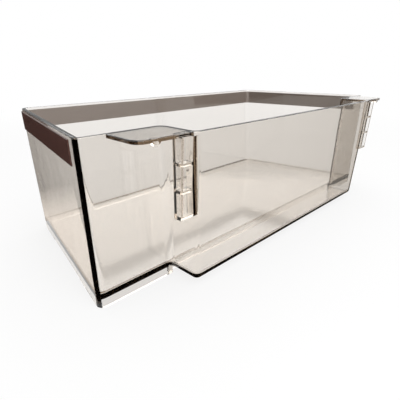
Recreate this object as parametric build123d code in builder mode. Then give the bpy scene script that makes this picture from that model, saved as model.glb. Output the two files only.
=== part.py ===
from build123d import *

import os
from math import atan, cos, radians, tan

# Refrigerator door bin: a clear moulded tub and the opaque trim band around its front.
# Millimetres. +Y points at the door, -Y at the room, +Z up.
# The origin is the middle of the bin's box, on the surface it stands on.

# Overall sizes, at the rim
rear_width = 420.0
front_width = 353.0
main_depth = 173.0
centre_width = 292.0
centre_projection = 34.0
height = 122.0

# Wall, floor and the skirt that the bin stands on
wall = 3.2
floor_thickness = 3.4
skirt_height = 6.3
skirt_wall = 3.0
skirt_relief = 1.2
skirt_foot_length = 46.0
notch_width = 276.0
notch_depth = 4.0

# Draft in degrees: each wall leans inward towards the floor
side_draft = 1.3
end_draft = 0.25
return_draft = 2.6
centre_draft = 2.2
front_draft = 3.5

# Vertical corners of the outer faces
front_corner = 8.0
end_corner = 5.2
step_corner = 4.0
foot_corner = 1.8
notch_corner = 1.0

# Rounded edges
floor_fillet = 3.0
ledge_round = 4.6
rim_fillet = 0.9

# How much rounder the vertical corners are than the round between floor and wall that runs into them
front_corner_ease = 1.8
centre_corner_ease = 0.4

# Tab at each rear corner, flush with the rim, and the nib under its edge
tab_width = 43.5
tab_depth = 31.5
tab_thickness = 2.5
tab_corner = 7.0
nib_offset = 28.5
nib_width = 5.0
nib_tip = 1.4
nib_drop = 2.8
nib_depth = 5.0

# Hook column beside each tab, with a ladder of pockets that open to the door
hook_width = 12.0
hook_depth = 8.6
hook_length = 56.0
hook_plate = 1.8
hook_back = 1.6
hook_root = 1.8
hook_rib = 2.2
hook_pockets = 3

# Trim band around the front and sides, in a shallow seat in the wall
band_height = 17.0
band_drop = 2.5
band_thickness = 1.25
band_seat = 0.25
band_end_gap = 13.0
band_clearance = 0.1
band_bevel = 0.4

# Planes that the walls stand on at the rim
band_proud = band_thickness - band_seat
overall_depth = band_proud + main_depth + centre_projection
front_plane = band_proud - overall_depth / 2
end_plane = front_plane + main_depth
centre_plane = end_plane + centre_projection
return_plane = centre_width / 2
notch_plane = notch_width / 2

# Heights
floor_top = skirt_height + floor_thickness
tab_underside = height - tab_thickness
hook_foot = tab_underside - hook_length
tub_levels = (skirt_height, height)
band_high = height - band_drop
band_low = band_high - band_height

# Corners of the +X side from front to rear, with the bay or the notch between the ends.
# A radius of 0 leaves a sharp corner, as the ends have inside.
front_corner_inside = floor_fillet + front_corner_ease
centre_corner = ledge_round + centre_corner_ease
centre_corner_inside = floor_fillet + centre_corner_ease
step_corner_inside = step_corner + wall
outer_radii = [front_corner, end_corner]
inner_radii = [front_corner_inside, 0, step_corner_inside, centre_corner_inside]
skirt_radii = [front_corner, end_corner, foot_corner, notch_corner]
skirt_inner_radii = [front_corner_inside, 0, foot_corner, notch_corner]


def lean(z, draft):
    """How far a wall has moved inward at height z."""
    return (height - z) * tan(radians(draft))


def side_x(y, z, inset):
    """Half the width between the two side walls at y and z, inside the outer face by inset."""
    slope = (rear_width - front_width) / 2 / main_depth
    at_rim = rear_width / 2 - slope * (end_plane - y)
    return at_rim - lean(z, side_draft) - inset / cos(atan(slope))


def end_y(z, inset):
    """Where the two ends of the rear wall stand at height z."""
    return end_plane - lean(z, end_draft) - inset


def bay_corners(z, inset):
    """Corners of the centre bay at height z."""
    x = return_plane - lean(z, return_draft) - inset
    y = centre_plane - lean(z, centre_draft) - inset
    return [(x, end_y(z, inset)), (x, y)]


def notch_corners(z, inset):
    """Corners of the notch that the skirt has under the centre bay."""
    x = notch_plane + inset
    y = end_y(z, inset)
    return [(x, y), (x, y - notch_depth)]


def mirrored_plan(z, right, radii):
    """The plan at height z that has the given corners on its +X side and the same on its -X side."""
    left = [(-x, y) for x, y in reversed(right)]
    with BuildSketch(Plane.XY.offset(z)) as plan:
        with BuildLine():
            FilletPolyline(*right, *left, radius=radii + radii[::-1], close=True)
        make_face()
    return plan.sketch


def outline(z, inset, radii, rear=()):
    """The basin's plan at height z, inside the outer face by inset.

    Its rear wall is straight from end to end, unless rear gives more corners there.
    """
    front_y = front_plane + lean(z, front_draft) + inset
    rear_y = end_y(z, inset)
    right = [(side_x(front_y, z, inset), front_y), (side_x(rear_y, z, inset), rear_y), *rear]
    return mirrored_plan(z, right, radii[: len(right)])


def band_section(z, inset):
    """The basin's plan at height z, with corners that keep an even distance from the wall."""
    return outline(z, inset, [radius - inset for radius in outer_radii])


def band_ring(levels, inside, stop):
    """A U that hugs the walls up to y = stop. levels gives heights and how far it stands out there."""
    heights = [levels[0][0], levels[-1][0]]
    with BuildPart() as ring:
        loft([band_section(z, -proud) for z, proud in levels], ruled=True)
        loft([band_section(z, inside) for z in heights], ruled=True, mode=Mode.SUBTRACT)
        split(bisect_by=Plane.XZ.offset(-stop), keep=Keep.TOP)
    return ring.part


# Trim band, with bevelled outer edges
band_end = end_plane - band_end_gap
band_levels = [
    (band_low, band_proud - band_bevel),
    (band_low + band_bevel, band_proud),
    (band_high - band_bevel, band_proud),
    (band_high, band_proud - band_bevel),
]

with BuildPart() as trim_band:
    add(band_ring(band_levels, band_seat - band_clearance, band_end))
trim_band.part.label = "trim_band"

# Seat of the trim band, which is cut out of the walls
seat_levels = [(band_low - band_clearance, band_proud), (band_high + band_clearance, band_proud)]

with BuildPart() as band_bed:
    add(band_ring(seat_levels, band_seat, band_end + band_clearance))

# Inside of the tub, with a rounded joint between floor and walls
with BuildPart() as hollow:
    loft([outline(z, wall, inner_radii, bay_corners(z, wall)) for z in (floor_top, height)], ruled=True)
    fillet(hollow.faces().sort_by(Axis.Z)[0].edges(), floor_fillet)

# Tab, nib and hook column of the +X side, with roots that end inside the walls
root_x = return_plane - lean(hook_foot, return_draft) - wall / 2
root_y = end_plane - wall
tab_x = return_plane + tab_width
tab_y = end_plane + tab_depth
nib_x = return_plane + nib_offset
nib_foot = tab_underside - nib_drop
hook_x = return_plane + hook_width
hook_y = centre_plane - hook_depth
pocket_x = return_plane + hook_root
pocket_width = hook_x - hook_plate - pocket_x
pocket_pitch = hook_length / hook_pockets
pocket_height = pocket_pitch - hook_rib
pocket_floors = [hook_foot + hook_rib + i * pocket_pitch for i in range(hook_pockets)]

with BuildPart() as hanger:
    with BuildSketch(Plane.XY.offset(tab_underside)):
        with BuildLine():
            FilletPolyline(
                (root_x, root_y),
                (tab_x, root_y),
                (tab_x, tab_y),
                (root_x, tab_y),
                radius=[0, 0, tab_corner, 0],
                close=True,
            )
        make_face()
    extrude(amount=tab_thickness)
    with BuildSketch(Plane.XZ.offset(-tab_y)):
        Polygon(
            (nib_x - nib_width / 2, tab_underside),
            (nib_x + nib_width / 2, tab_underside),
            (nib_x + nib_tip / 2, nib_foot),
            (nib_x - nib_tip / 2, nib_foot),
            align=None,
        )
    extrude(amount=nib_depth)
    with BuildSketch(Plane.YZ.offset(root_x)):
        Polygon(
            (hook_y, hook_foot),
            (centre_plane - lean(hook_foot, centre_draft), hook_foot),
            (centre_plane - lean(tab_underside, centre_draft), tab_underside),
            (hook_y, tab_underside),
            align=None,
        )
    extrude(amount=hook_x - root_x)
    with Locations(*[(pocket_x, hook_y + hook_back, z) for z in pocket_floors]):
        Box(
            pocket_width,
            hook_depth,
            pocket_height,
            align=(Align.MIN, Align.MIN, Align.MIN),
            mode=Mode.SUBTRACT,
        )

# Centre bay, with its root in the basin and a round under it
bay_root_x = return_plane + step_corner + ledge_round
bay_root_y = end_plane - ledge_round - centre_projection
bay_radii = [0, 0, step_corner, centre_corner]


def bay_plan(z):
    """Plan of the centre bay at height z, with its root."""
    root = [(bay_root_x, bay_root_y), (bay_root_x, end_y(z, 0))]
    return mirrored_plan(z, root + bay_corners(z, 0), bay_radii)


with BuildPart() as bay:
    loft([bay_plan(z) for z in tub_levels], ruled=True)
    bay_bottom = bay.faces().sort_by(Axis.Z)[0].edges()
    fillet(bay_bottom.filter_by_position(Axis.Y, end_plane - wall, centre_plane), ledge_round)

# Tub: walls and floor, both hangers, and the skirt under the basin
skirt_relief_length = main_depth - 2 * skirt_foot_length

with BuildPart() as tub:
    loft([outline(z, 0, outer_radii) for z in tub_levels], ruled=True)
    add(bay.part)
    add(hanger.part)
    mirror(hanger.part, about=Plane.YZ)
    add(hollow.part, mode=Mode.SUBTRACT)
    add(band_bed.part, mode=Mode.SUBTRACT)
    fillet(tub.faces().sort_by(Axis.Z)[-1].edges(), rim_fillet)
    extrude(
        outline(skirt_height, 0, skirt_radii, notch_corners(skirt_height, 0)),
        amount=-skirt_height,
    )
    extrude(
        outline(skirt_height, skirt_wall, skirt_inner_radii, notch_corners(skirt_height, skirt_wall)),
        amount=-skirt_height,
        mode=Mode.SUBTRACT,
    )
    with Locations((0, end_plane - main_depth / 2, 0)):
        Box(
            rear_width,
            skirt_relief_length,
            skirt_relief,
            align=(Align.CENTER, Align.CENTER, Align.MIN),
            mode=Mode.SUBTRACT,
        )
tub.part.label = "tub"

os.makedirs("parts", exist_ok=True)
export_step(tub.part, "parts/tub.step")
export_step(trim_band.part, "parts/trim_band.step")
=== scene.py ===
from math import cos, radians, sin

import bpy
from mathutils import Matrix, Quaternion, Vector

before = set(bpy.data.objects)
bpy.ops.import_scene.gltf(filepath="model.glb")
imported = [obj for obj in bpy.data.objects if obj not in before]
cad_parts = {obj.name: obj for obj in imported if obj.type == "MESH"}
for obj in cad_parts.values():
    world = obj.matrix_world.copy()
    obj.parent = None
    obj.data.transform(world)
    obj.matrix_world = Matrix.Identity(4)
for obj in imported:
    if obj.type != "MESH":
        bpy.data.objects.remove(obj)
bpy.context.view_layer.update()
scene = bpy.context.scene

# The camera of the photograph: a wide view from above the rear corner of the bin
CAMERA_PLACE = Vector((0.3006, 0.2599, 0.1623))
CAMERA_HEADING = radians(45.5)
CAMERA_DIP = radians(21.42)
CAMERA_ROLL = radians(0.15)
CAMERA_LENS = 31.4
SENSOR_WIDTH = 36.0
CLIP_START = 0.01

# Smoky clear plastic: how it bends and darkens light, and the faint waviness of a moulded face
PLASTIC_IOR = 1.57
SMOKE_COLOUR = (0.48, 0.36, 0.21, 1.0)
SMOKE_DENSITY = 75.0
SHADOW_TINT = (0.96, 0.96, 0.96, 1.0)
WAVE_SCALE = 26.0
WAVE_DEPTH = 0.00012
WAVE_DETAIL = 1.0
HAZE_SCALE = 420.0
HAZE_DETAIL = 4.0
HAZE_ROUGHNESS = (0.0, 0.035)

# The inside of the tub's floor, at this height, is a little duller than the walls
INSIDE_FLOOR_LEVEL = 0.0097
INSIDE_FLOOR_BAND = 0.00005
INSIDE_FLOOR_HAZE = 0.08

# Satin trim: dark brown outside; the lighter colour of the face that shows through the wall is
# painted light, standing for the light that reaches that face while the outside lies in shade
TRIM_OUTSIDE = ((0.082, 0.037, 0.030, 1.0), (0.106, 0.052, 0.043, 1.0))
TRIM_BACK_PAINTED_LIGHT = ((0.60, 0.51, 0.47, 1.0), (0.69, 0.60, 0.555, 1.0))
TRIM_ROUGHNESS = (0.17, 0.25)
TRIM_SPECULAR = 0.25
TRIM_BACK_LIMIT = -0.02
LEVEL_PART = (1.0, 1.0, 0.0)
GRAIN_STRETCH = (30.0, 30.0, 2200.0)
GRAIN_SCALE = 1.0
GRAIN_DETAIL = 3.0
GRAIN_DEPTH = 0.00002

# Studio: a pale floor, soft lamps and a white surround
FLOOR_SIZE = 6.0
FLOOR_COLOUR = (0.90, 0.90, 0.90, 1.0)
FLOOR_GAP = 0.0004
SHADOW_SHARE = 0.22
SHADOW_REACH = (0.35, 1.1)
AMBIENT = 0.35
LAMPS = {
    "key_softbox": {"place": (0.50, 1.05, 1.10), "size": (1.6, 1.6), "watts": 22.0},
    "top_softbox": {"place": (-0.20, -0.10, 1.50), "size": (1.6, 1.6), "watts": 7.0},
    "back_softbox": {"place": (-1.55, -1.50, 1.32), "size": (3.2, 1.3), "watts": 17.5},
}
LAMP_AIM = Vector((0.0, 0.0, 0.06))

# Cards that only reflections see paint dark, warm and grey reflections into the polished walls and
# keep them from turning milky
CARD_LIFT = 0.0004
REAR_CARD = ((-1.5, 0.0705), (1.2, 0.0705), (1.2, 2.0), (-1.5, 2.0))
SIDE_CARD = ((0.212, -2.5), (1.2, -2.5), (1.2, 0.0705), (0.212, 0.0705))
FRONT_CARD = (
    (-0.30, -2.5),
    (0.212, -2.5),
    (0.212, 0.0705),
    (0.2105, 0.0705),
    (0.178, -0.106),
    (-0.30, -0.106),
)
FRONT_CARD_FADE = (-0.11, -0.22)
BACK_CARD = {"middle": (-0.85, -1.35), "width": 2.6, "height": 0.54}
DARK_SHADE = (0.012, 0.009, 0.008, 1.0)
WARM_SHADE = (0.88, 0.78, 0.69, 1.0)
GREY_SHADE = (0.38, 0.38, 0.38, 1.0)

# Shared by the materials: white, and the range that most values of a noise fall in
WHITE = (1.0, 1.0, 1.0, 1.0)
NOISE_MIDDLE = (0.3, 0.7)

# How often light may bounce, enough to follow it along the inside of a wall
BOUNCES = 12


class Nodes:
    """A material's node tree, with short ways to add and join nodes."""

    def __init__(self, owner):
        owner.use_nodes = True
        self.tree = owner.node_tree
        self.tree.nodes.clear()

    def add(self, kind, values=None, **settings):
        node = self.tree.nodes.new(kind)
        for name, value in settings.items():
            setattr(node, name, value)
        for socket, value in (values or {}).items():
            node.inputs[socket].default_value = value
        return node

    def join(self, source, output, target, socket):
        self.tree.links.new(source.outputs[output], target.inputs[socket])

    def noise(self, coordinates, output, scale, detail):
        """A noise texture over the given coordinates."""
        texture = self.add("ShaderNodeTexNoise", {"Scale": scale, "Detail": detail})
        self.join(coordinates, output, texture, "Vector")
        return texture

    def spread(self, texture, low, high):
        """The texture's middle range, mapped to values from low to high."""
        begin, end = NOISE_MIDDLE
        stretch = self.add(
            "ShaderNodeMapRange",
            {"From Min": begin, "From Max": end, "To Min": low, "To Max": high},
        )
        self.join(texture, "Fac", stretch, "Value")
        return stretch

    def colours(self, texture, low, high):
        """A ramp from one colour to another over the texture's middle range."""
        ramp = self.add("ShaderNodeValToRGB")
        for element, position, colour in zip(ramp.color_ramp.elements, NOISE_MIDDLE, (low, high)):
            element.position = position
            element.color = colour
        self.join(texture, "Fac", ramp, "Fac")
        return ramp

    def seen_directly(self):
        """1 for what the eye sees, straight, in a reflection or through plastic, and 0 for light."""
        path = self.add("ShaderNodeLightPath")
        either = self.add("ShaderNodeMath", operation="MAXIMUM")
        self.join(path, "Is Camera Ray", either, 0)
        self.join(path, "Is Glossy Ray", either, 1)
        any_of_three = self.add("ShaderNodeMath", operation="MAXIMUM")
        self.join(either, "Value", any_of_three, 0)
        self.join(path, "Is Transmission Ray", any_of_three, 1)
        return any_of_three


def clear_plastic():
    """Polished plastic that bends light and darkens it along its way through."""
    material = bpy.data.materials.new("clear_plastic_look")
    nodes = Nodes(material)
    place = nodes.add("ShaderNodeTexCoord")
    shader = nodes.add(
        "ShaderNodeBsdfPrincipled",
        {"Base Color": WHITE, "IOR": PLASTIC_IOR, "Transmission Weight": 1.0},
    )
    haze = nodes.noise(place, "Object", HAZE_SCALE, HAZE_DETAIL)
    split = nodes.add("ShaderNodeSeparateXYZ")
    nodes.join(place, "Object", split, "Vector")
    on_floor = nodes.add(
        "ShaderNodeMath",
        {1: INSIDE_FLOOR_LEVEL, 2: INSIDE_FLOOR_BAND},
        operation="COMPARE",
    )
    nodes.join(split, "Z", on_floor, 0)
    roughness = nodes.add("ShaderNodeMath", {1: INSIDE_FLOOR_HAZE}, operation="MULTIPLY_ADD")
    nodes.join(on_floor, "Value", roughness, 0)
    nodes.join(nodes.spread(haze, *HAZE_ROUGHNESS), "Result", roughness, 2)
    nodes.join(roughness, "Value", shader, "Roughness")
    waves = nodes.noise(place, "Object", WAVE_SCALE, WAVE_DETAIL)
    bump = nodes.add("ShaderNodeBump", {"Distance": WAVE_DEPTH})
    nodes.join(waves, "Fac", bump, "Height")
    nodes.join(bump, "Normal", shader, "Normal")
    clear = nodes.add("ShaderNodeBsdfTransparent", {"Color": SHADOW_TINT})
    path = nodes.add("ShaderNodeLightPath")
    surface = nodes.add("ShaderNodeMixShader")
    nodes.join(path, "Is Shadow Ray", surface, 0)
    nodes.join(shader, "BSDF", surface, 1)
    nodes.join(clear, "BSDF", surface, 2)
    smoke = nodes.add("ShaderNodeVolumeAbsorption", {"Color": SMOKE_COLOUR, "Density": SMOKE_DENSITY})
    output = nodes.add("ShaderNodeOutputMaterial")
    nodes.join(surface, "Shader", output, "Surface")
    nodes.join(smoke, "Volume", output, "Volume")
    return material


def satin_trim():
    """Satin strip with a fine grain along it, dark outside, with painted light on its back: a lighter
    colour there stands for light reaching it through the wall.
    """
    material = bpy.data.materials.new("satin_trim_look")
    nodes = Nodes(material)
    place = nodes.add("ShaderNodeTexCoord")
    flat = nodes.add("ShaderNodeVectorMath", {1: LEVEL_PART}, operation="MULTIPLY")
    nodes.join(place, "Object", flat, 0)
    outward = nodes.add("ShaderNodeVectorMath", operation="DOT_PRODUCT")
    nodes.join(place, "Normal", outward, 0)
    nodes.join(flat, "Vector", outward, 1)
    back = nodes.add("ShaderNodeMath", {1: TRIM_BACK_LIMIT}, operation="LESS_THAN")
    nodes.join(outward, "Value", back, 0)
    stretch = nodes.add("ShaderNodeVectorMath", {1: GRAIN_STRETCH}, operation="MULTIPLY")
    nodes.join(place, "Object", stretch, 0)
    grain = nodes.noise(stretch, "Vector", GRAIN_SCALE, GRAIN_DETAIL)
    # The back face takes the lighter colour: painted light for the face lit through the wall
    colour = nodes.add("ShaderNodeMix", data_type="RGBA")
    nodes.join(back, "Value", colour, 0)
    nodes.join(nodes.colours(grain, *TRIM_OUTSIDE), "Color", colour, 6)
    nodes.join(nodes.colours(grain, *TRIM_BACK_PAINTED_LIGHT), "Color", colour, 7)
    shader = nodes.add("ShaderNodeBsdfPrincipled", {"Specular IOR Level": TRIM_SPECULAR})
    nodes.join(colour, 2, shader, "Base Color")
    nodes.join(nodes.spread(grain, *TRIM_ROUGHNESS), "Result", shader, "Roughness")
    bump = nodes.add("ShaderNodeBump", {"Distance": GRAIN_DEPTH})
    nodes.join(grain, "Fac", bump, "Height")
    nodes.join(bump, "Normal", shader, "Normal")
    output = nodes.add("ShaderNodeOutputMaterial")
    nodes.join(shader, "BSDF", output, "Surface")
    return material


def dress(node, material):
    """Gives every slot of a CAD node the material."""
    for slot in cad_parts[node].material_slots:
        slot.material = material


def studio_sheet(name, corners, material):
    """A flat sheet of the studio, not part of the object."""
    mesh = bpy.data.meshes.new(name)
    mesh.from_pydata(corners, [], [range(len(corners))])
    mesh.materials.append(material)
    sheet = bpy.data.objects.new(name, mesh)
    scene.collection.objects.link(sheet)
    return sheet


def pale_floor():
    """A floor that looks white in full light and keeps a soft shadow, which fades out further off."""
    material = bpy.data.materials.new("pale_floor")
    nodes = Nodes(material)
    matte = nodes.add("ShaderNodeBsdfDiffuse", {"Color": FLOOR_COLOUR})
    white = nodes.add("ShaderNodeEmission")
    place = nodes.add("ShaderNodeTexCoord")
    distance = nodes.add("ShaderNodeVectorMath", operation="LENGTH")
    nodes.join(place, "Object", distance, 0)
    near, far = SHADOW_REACH
    share = nodes.add(
        "ShaderNodeMapRange",
        {"From Min": near, "From Max": far, "To Min": 1.0 - SHADOW_SHARE, "To Max": 1.0},
        interpolation_type="SMOOTHSTEP",
    )
    nodes.join(distance, "Value", share, "Value")
    shown = nodes.add("ShaderNodeMath", operation="MULTIPLY")
    nodes.join(share, "Result", shown, 0)
    nodes.join(nodes.seen_directly(), "Value", shown, 1)
    both = nodes.add("ShaderNodeMixShader")
    nodes.join(shown, "Value", both, 0)
    nodes.join(matte, "BSDF", both, 1)
    nodes.join(white, "Emission", both, 2)
    output = nodes.add("ShaderNodeOutputMaterial")
    nodes.join(both, "Shader", output, "Surface")
    reach = FLOOR_SIZE / 2
    corners = [(-reach, -reach), (reach, -reach), (reach, reach), (-reach, reach)]
    studio_sheet("floor", [(x, y, -FLOOR_GAP) for x, y in corners], material)


def card_shade(name, colour, near=None):
    """An even colour, or one that a lighter colour near the bin fades to."""
    material = bpy.data.materials.new(name)
    nodes = Nodes(material)
    glow = nodes.add("ShaderNodeEmission", {"Color": colour})
    if near:
        place = nodes.add("ShaderNodeTexCoord")
        split = nodes.add("ShaderNodeSeparateXYZ")
        nodes.join(place, "Object", split, "Vector")
        begin, end = FRONT_CARD_FADE
        share = nodes.add("ShaderNodeMapRange", {"From Min": begin, "From Max": end})
        nodes.join(split, "Y", share, "Value")
        fade = nodes.add("ShaderNodeMix", {6: near, 7: colour}, data_type="RGBA")
        nodes.join(share, "Result", fade, 0)
        nodes.join(fade, 2, glow, "Color")
    output = nodes.add("ShaderNodeOutputMaterial")
    nodes.join(glow, "Emission", output, "Surface")
    return material


def show_in_gloss_only(card):
    """Leaves a card visible to reflections alone."""
    card.visible_camera = False
    card.visible_diffuse = False
    card.visible_transmission = False
    card.visible_shadow = False


def reflected_cards():
    """Dark cards on the floor, one warm near the bin, and a grey one that stands behind the bin:
    painted reflections, seen in reflections alone.
    """
    dark = card_shade("dark_card", DARK_SHADE)
    fading = card_shade("fading_card", DARK_SHADE, WARM_SHADE)
    layout = {
        "rear_card": (REAR_CARD, dark),
        "side_card": (SIDE_CARD, dark),
        "front_card": (FRONT_CARD, fading),
    }
    for name, (corners, shade) in layout.items():
        show_in_gloss_only(studio_sheet(name, [(x, y, CARD_LIFT) for x, y in corners], shade))
    middle = Vector(BACK_CARD["middle"])
    along = Vector((-middle.y, middle.x)).normalized() * BACK_CARD["width"] / 2
    ends = (middle - along, middle + along)
    foot = [(end.x, end.y, 0.0) for end in ends]
    top = [(end.x, end.y, BACK_CARD["height"]) for end in reversed(ends)]
    show_in_gloss_only(studio_sheet("back_card", foot + top, card_shade("grey_card", GREY_SHADE)))


def white_surround():
    """A world that is white to the eye and gives a dimmer, even light."""
    world = bpy.data.worlds.new("studio")
    scene.world = world
    nodes = Nodes(world)
    level = nodes.add("ShaderNodeMapRange", {"To Min": AMBIENT, "To Max": 1.0})
    nodes.join(nodes.seen_directly(), "Value", level, "Value")
    background = nodes.add("ShaderNodeBackground", {"Color": WHITE})
    nodes.join(level, "Result", background, "Strength")
    output = nodes.add("ShaderNodeOutputWorld")
    nodes.join(background, "Background", output, "Surface")


def soft_lamps():
    """Large soft lamps above the bin."""
    for name, lamp in LAMPS.items():
        data = bpy.data.lights.new(name, "AREA")
        data.shape = "RECTANGLE"
        data.size, data.size_y = lamp["size"]
        data.energy = lamp["watts"]
        softbox = bpy.data.objects.new(name, data)
        scene.collection.objects.link(softbox)
        softbox.visible_camera = False
        softbox.location = lamp["place"]
        aim = LAMP_AIM - Vector(lamp["place"])
        softbox.rotation_euler = aim.to_track_quat("-Z", "Y").to_euler()


def photo_camera():
    """The camera at the photograph's viewing angle."""
    camera = bpy.data.objects.new("camera", bpy.data.cameras.new("camera"))
    scene.collection.objects.link(camera)
    camera.data.lens = CAMERA_LENS
    camera.data.sensor_width = SENSOR_WIDTH
    ahead = Vector((
        -sin(CAMERA_HEADING) * cos(CAMERA_DIP),
        -cos(CAMERA_HEADING) * cos(CAMERA_DIP),
        -sin(CAMERA_DIP),
    ))
    camera.rotation_mode = "QUATERNION"
    camera.rotation_quaternion = ahead.to_track_quat("-Z", "Y") @ Quaternion((0, 0, 1), CAMERA_ROLL)
    camera.location = CAMERA_PLACE
    camera.data.clip_start = CLIP_START
    scene.camera = camera


scene.view_settings.view_transform = "Standard"
scene.cycles.caustics_refractive = False
scene.cycles.caustics_reflective = False
scene.cycles.max_bounces = BOUNCES
scene.cycles.transmission_bounces = BOUNCES
scene.cycles.glossy_bounces = BOUNCES
dress("tub", clear_plastic())
dress("trim_band", satin_trim())
pale_floor()
reflected_cards()
white_surround()
soft_lamps()
photo_camera()
